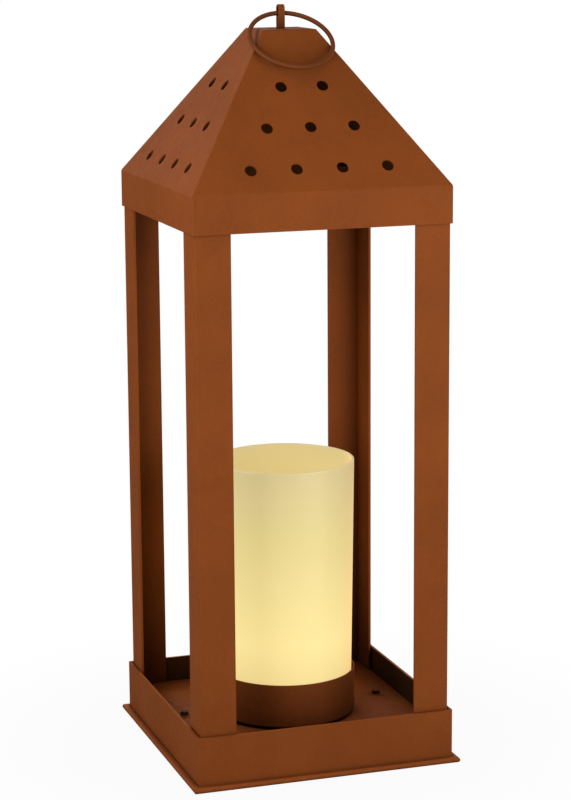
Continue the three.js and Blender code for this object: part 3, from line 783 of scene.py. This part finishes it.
eye = begin(
    "eye_upright",
    bpy.ops.mesh.primitive_cube_add,
    size=1,
    location=(0, 0, (roof_high.z + eye_high.z) / 2),
    scale=(eye_high.x - eye_low.x, eye_high.y - eye_low.y, eye_high.z - roof_high.z),
)
open_piece(eye)
pick(
    eye,
    "EDGE",
    lambda middle, edge: middle.z > eye_high.z - 1e-5 and abs(middle.y) > 0.9 * eye_high.y,
)
bpy.ops.mesh.bevel(offset=0.97 * eye_high.y, segments=10)
close_piece()
stud = begin(
    "stud",
    bpy.ops.mesh.primitive_cylinder_add,
    vertices=32,
    radius=2.5 * MM,
    depth=roof_high.z - eye_low.z + 1 * MM,
    location=(0, 0, (roof_high.z + eye_low.z + 1 * MM) / 2),
)
combine(eye, stud, "UNION")
hole = begin(
    "hole",
    bpy.ops.mesh.primitive_cylinder_add,
    vertices=40,
    radius=wire + wire_play,
    depth=3 * eye_high.x,
    location=pivot,
    rotation=(0, math.pi / 2, 0),
)
open_piece(hole)
pick(hole, "VERT", lambda middle, corner: middle.z > pivot.z + 1e-5)
bpy.ops.transform.translate(value=(0, 0, slack))
close_piece()
combine(eye, hole, "DIFFERENCE")
soften(eye, 0.7 * MM, steps=4, sharper_than=40)
smooth(eye)
place(eye, "hanger_eye", "frame", coat)

# %% [markdown]
# Ring: round wire bent to a circle, with its two ends meeting inside the eye, where nobody sees
# them. A small circle is spun about the ring's axis and stops just short of itself. The ring has
# fallen forward, and lies on the roof's two front hips.

# %% Carrying ring

ring_radius = (ring_high.x - ring_low.x) / 2 - wire
rest = math.asin((-ring_low.y - wire) / (2 * ring_radius))
seam = math.radians(0.3)

ring = begin(
    "ring_wire",
    bpy.ops.mesh.primitive_circle_add,
    vertices=20,
    radius=wire,
    fill_type="NGON",
    location=(0, ring_radius, 0),
    rotation=(0, math.pi / 2, 0),
)
open_piece(ring)
bpy.ops.mesh.select_all(action="SELECT")
bpy.ops.mesh.spin(steps=128, angle=2 * math.pi - seam, center=(0, 0, 0), axis=(0, 0, 1))
close_piece()
tidy(ring)
fall = Matrix.Rotation(math.pi / 2 - rest, 4, "X") @ Matrix.Translation((0, -ring_radius, 0))
ring.data.transform(Matrix.Translation(pivot) @ fall)
smooth(ring)
# Painted shade: the ring gets the darker copy of the coat.
place(ring, "carry_ring", "ring", wire_painted_shade_coat)
print("the ring rests", round(math.degrees(rest), 1), "degrees from hanging straight down")

# %% [markdown]
# Cup: a drawn dish with a rounded foot that holds the glass upright. It is turned from a circle,
# as if spun on a lathe, and then gets its thickness.

# %% Cup

cup_low, cup_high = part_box("glass_cup")
cup_sheet = 1.2 * MM
cup_foot_round = 2.6 * MM
nipple_hole = 5.3 * MM

cup = turned(
    "cup_dish",
    [(nipple_hole, cup_low.z)]
    + arc((cup_high.x - cup_foot_round, cup_low.z + cup_foot_round), cup_foot_round, -90, 0, 8)
    + [(cup_high.x, cup_high.z)],
    sides=128,
    closed=False,
)
thicken(cup, cup_sheet)
soften(cup, 0.35 * MM)
smooth(cup)
place(cup, "glass_cup", "frame", coat)

# %% [markdown]
# Glass: a plain cylinder, 2.5 mm thick and a little wider at its top. Its rim was melted round,
# so light catches it in a thin line.

# %% Glass cylinder

glass_wall = 2.5 * MM
glass_foot_radius = 54.1 * MM

glass = turned(
    "glass_tube",
    [(glass_foot_radius, glass_low.z), (glass_high.x, glass_high.z)],
    sides=128,
    closed=False,
)
thicken(glass, glass_wall)
soften(glass, 1.1 * MM, steps=5)
smooth(glass)
place(glass, "glass_shade", "glass", opal)
paint_shade_inside(glass, opal_inside, rim=True)

# %% [markdown]
# Bulb: a milky dome on a white collar. From above it shows through the glass's open top. The
# dome is a ball cut off where the collar carries it.

# %% Bulb

globe_radius = 30 * MM
globe_wall = 1.5 * MM
globe = begin(
    "bulb_dome",
    bpy.ops.mesh.primitive_uv_sphere_add,
    segments=64,
    ring_count=40,
    radius=globe_radius,
    location=(0, 0, bulb_high.z - globe_radius),
)
open_piece(globe)
bpy.ops.mesh.select_all(action="SELECT")
bpy.ops.mesh.bisect(plane_co=(0, 0, bulb_low.z), plane_no=(0, 0, 1), clear_inner=True)
close_piece()
tidy(globe)
thicken(globe, globe_wall)
soften(globe, 0.3 * MM)
smooth(globe)
place(globe, "bulb_globe", "bulb_head", dome)

collar_low, collar_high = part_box("bulb_collar")
cap_low, cap_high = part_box("bulb_cap")
neck = cap_high.x + 0.6 * MM
spigot = 10 * MM
collar_foot = cap_high.z + play
flare = collar_high.x - neck
rise = collar_high.z - collar_foot
side_line = [
    (neck + flare * math.sin(step / 12 * math.pi / 2), collar_foot + rise * step / 12)
    for step in range(13)
]
collar = turned(
    "bulb_skirt",
    [(spigot, collar_low.z), (spigot + 1.5 * MM, collar_low.z), (spigot + 1.5 * MM, collar_foot)]
    + side_line
    + [
        (collar_high.x - 2 * MM, collar_high.z),
        (collar_high.x - 2 * MM, collar_high.z - 3 * MM),
        (collar_high.x - 4 * MM, collar_high.z - 3 * MM),
        (spigot, collar_foot + 2 * MM),
    ],
    sides=64,
)
soften(collar, 0.3 * MM)
smooth(collar)
place(collar, "bulb_collar", "bulb_head", white_plastic)

# %% [markdown]
# Lamp holder: a round black case with a bore for the bulb's cap.

# %% Lamp holder

case_low, case_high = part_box("holder_body")
bore = 15 * MM
bore_floor = case_high.z - 24 * MM
chamber = 8 * MM
case_floor = 6 * MM

case = turned(
    "holder_case",
    [
        (nipple_hole, case_low.z),
        (case_high.x, case_low.z),
        (case_high.x, case_high.z - 6 * MM),
        (case_high.x - 1 * MM, case_high.z - 6.6 * MM),
        (case_high.x - 1 * MM, case_high.z),
        (bore, case_high.z),
        (bore, bore_floor),
        (chamber, bore_floor),
        (chamber, case_low.z + case_floor),
        (nipple_hole, case_low.z + case_floor),
    ],
    sides=64,
)
soften(case, 0.6 * MM)
smooth(case)
place(case, "holder_body", "frame", black_plastic)

# %% [markdown]
# Grommet: a rubber ring in the rear wall that keeps the sheet's edge off the mains cord. It is
# turned about the upright axis, then tipped over and set into its hole.

# %% Grommet

grommet_centre = (grommet_low.y + grommet_high.y) / 2
half_long = (grommet_high.y - grommet_low.y) / 2
half_neck = sheet / 2 + play
rubber_ring = turned(
    "grommet_rubber",
    [
        (3.5 * MM, -half_long),
        (7 * MM, -half_long),
        (grommet_high.x, -half_long + 0.7 * MM),
        (grommet_high.x, -half_neck),
        (6 * MM, -half_neck),
        (6 * MM, half_neck),
        (grommet_high.x, half_neck),
        (grommet_high.x, half_long - 0.7 * MM),
        (7 * MM, half_long),
        (3.5 * MM, half_long),
    ],
    sides=64,
)
tip = Matrix.Translation((0, grommet_centre, cord_height)) @ Matrix.Rotation(-math.pi / 2, 4, "X")
rubber_ring.data.transform(tip)
soften(rubber_ring, 0.35 * MM)
smooth(rubber_ring)
place(rubber_ring, "cord_grommet", "frame", rubber)

# %% [markdown]
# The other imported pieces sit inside, and their shapes are right as they are. Each gets the
# finish that its slot in the record names.

# %% Finishes of the inner pieces

slot_finishes = {
    "rust_paint": coat,
    "zinc": zinc,
    "brass": brass,
    "opal_glass": opal,
    "black_plastic": black_plastic,
    "white_plastic": white_plastic,
    "black_rubber": rubber,
    "led_board": board_lacquer,
    "bulb_globe": dome,
    "lead_brown": brown_sheath,
    "lead_blue": blue_sheath,
}
for entry in frame["record"]["subparts"]:
    node = frame["nodes"][entry["node"]]
    node.data.materials.clear()
    node.data.materials.append(slot_finishes[entry["material_slot"]])
print("pieces that keep their packed shape:", sum(not n.hide_render for n in frame["nodes"].values()))

# %% [markdown]
# The studio: a pale floor without an edge in view, and large soft lamps from the left, the right
# front, the back and the far side. Rays from the camera see floor and sky as white, and so do
# reflections see the sky, while the sky itself gives hardly any light. The floor keeps the
# lantern's shadow, and is nearly white already close to it.

# %% Floor

floor_radius = 30
floor_dark = (0.24, 0.24, 0.24)
floor_light = (0.25, 0.25, 0.25)
shade_from = 120 * MM
shade_to = 350 * MM
least_white = 0.95

floor = begin(
    "studio_floor",
    bpy.ops.mesh.primitive_circle_add,
    vertices=64,
    radius=floor_radius,
    fill_type="NGON",
)
floor_paint, floor_tree, floor_shader = new_finish("floor_paint", 0.9)
floor_shader.inputs["Specular IOR Level"].default_value = 0.0
floor_clouds = spread(floor_tree, noise(floor_tree, 0.4), 0.3, 0.7)
floor_tone = blend_colours(floor_tree, floor_clouds, floor_dark, floor_light)
floor_tree.links.new(floor_tone, floor_shader.inputs["Base Color"])
seen = add_node(floor_tree, "ShaderNodeLightPath").outputs["Is Camera Ray"]
white = add_node(floor_tree, "ShaderNodeEmission", Color=(1, 1, 1, 1), Strength=1.0)
floor_place = add_node(floor_tree, "ShaderNodeTexCoord").outputs["Object"]
away = floor_tree.nodes.new("ShaderNodeVectorMath")
away.operation = "LENGTH"
floor_tree.links.new(floor_place, away.inputs[0])
distance = away.outputs["Value"]
whiteness = spread(floor_tree, distance, shade_from, shade_to, least_white, 1.0)
share = floor_tree.nodes.new("ShaderNodeMath")
share.operation = "MULTIPLY"
floor_tree.links.new(seen, share.inputs[0])
floor_tree.links.new(whiteness, share.inputs[1])
lift = floor_tree.nodes.new("ShaderNodeMixShader")
floor_tree.links.new(share.outputs[0], lift.inputs["Fac"])
floor_tree.links.new(floor_shader.outputs[0], lift.inputs[1])
floor_tree.links.new(white.outputs[0], lift.inputs[2])
floor_tree.links.new(lift.outputs[0], floor_tree.nodes["Material Output"].inputs["Surface"])
floor.data.materials.append(floor_paint)
floor.visible_shadow = False
print("floor radius:", floor_radius, "m")

# %% Sky

sky_strength = 0.03
world = bpy.data.worlds.new("studio_sky")
bpy.context.scene.world = world
world.use_nodes = True
sky = world.node_tree
background = sky.nodes["Background"]
background.inputs["Color"].default_value = (1, 1, 1, 1)
background.inputs["Strength"].default_value = sky_strength
path = add_node(sky, "ShaderNodeLightPath")
white_sky = add_node(sky, "ShaderNodeBackground", Color=(1, 1, 1, 1), Strength=1.0)
mix = sky.nodes.new("ShaderNodeMixShader")
shown = path.outputs["Is Camera Ray"]
for ray in ("Is Glossy Ray", "Is Transmission Ray"):
    either = sky.nodes.new("ShaderNodeMath")
    either.operation = "MAXIMUM"
    sky.links.new(shown, either.inputs[0])
    sky.links.new(path.outputs[ray], either.inputs[1])
    shown = either.outputs[0]
sky.links.new(shown, mix.inputs["Fac"])
sky.links.new(background.outputs[0], mix.inputs[1])
sky.links.new(white_sky.outputs[0], mix.inputs[2])
sky.links.new(mix.outputs[0], sky.nodes["World Output"].inputs["Surface"])

print("strength of the sky's light:", sky_strength)

# %% [markdown]
# Each lamp is a square that looks at the middle of the lantern, so it casts no hard edge. A row
# gives its turn about the lantern in degrees, where 0 is the front and minus is the left, its
# height and distance in metres, its power in watts, and whether it shows in reflections.

# %% Lamps

target = Vector((0, 0, 0.33))
lamp_size = 0.6


def soft_lamp(name, place_at, power, shines):
    """A square lamp that looks at the middle of the lantern."""
    bpy.ops.object.light_add(type="AREA", location=place_at)
    lamp = bpy.context.object
    lamp.name = name
    lamp.data.size = lamp_size
    lamp.data.energy = power
    lamp.visible_glossy = shines
    lamp.rotation_euler = (target - Vector(place_at)).to_track_quat("-Z", "Y").to_euler()


lamps = {
    "lamp_right": (30, 0.41, 0.80, 4.0, True),
    "lamp_left": (-52, 0.53, 0.88, 4.1, True),
    "lamp_side": (-88, 1.20, 1.10, 6.7, True),
    "lamp_rear": (180, 0.50, 1.10, 9.2, False),
    "lamp_far": (104, 0.70, 1.20, 6.2, False),
}
for name, (turn, high, away, power, shines) in lamps.items():
    angle = math.radians(turn)
    spot = (away * math.sin(angle), -away * math.cos(angle), high)
    soft_lamp(name, spot, power, shines)
print("lamps:", len(lamps))

# %% [markdown]
# Camera: it stands where the picture was taken from, a little left of the lantern's front and
# above its middle. Its place, aim and lens were worked out from the straight edges in the picture.

# %% Camera

camera_place = (-0.6015, -1.82636, 0.67063)
camera_yaw = math.radians(18.2835)
camera_pitch = math.radians(-11.3721)
camera_roll = -0.007
camera_lens = 109.17

bpy.ops.object.camera_add(location=camera_place)
camera = bpy.context.object
aim = (
    Matrix.Rotation(-camera_yaw, 3, "Z")
    @ Matrix.Rotation(math.pi / 2 + camera_pitch, 3, "X")
    @ Matrix.Rotation(camera_roll, 3, "Z")
)
camera.rotation_euler = aim.to_euler()
camera.data.sensor_width = 36
camera.data.lens = camera_lens
bpy.context.scene.camera = camera
bpy.context.scene.view_settings.view_transform = "Standard"
print("camera lens:", camera_lens, "mm")
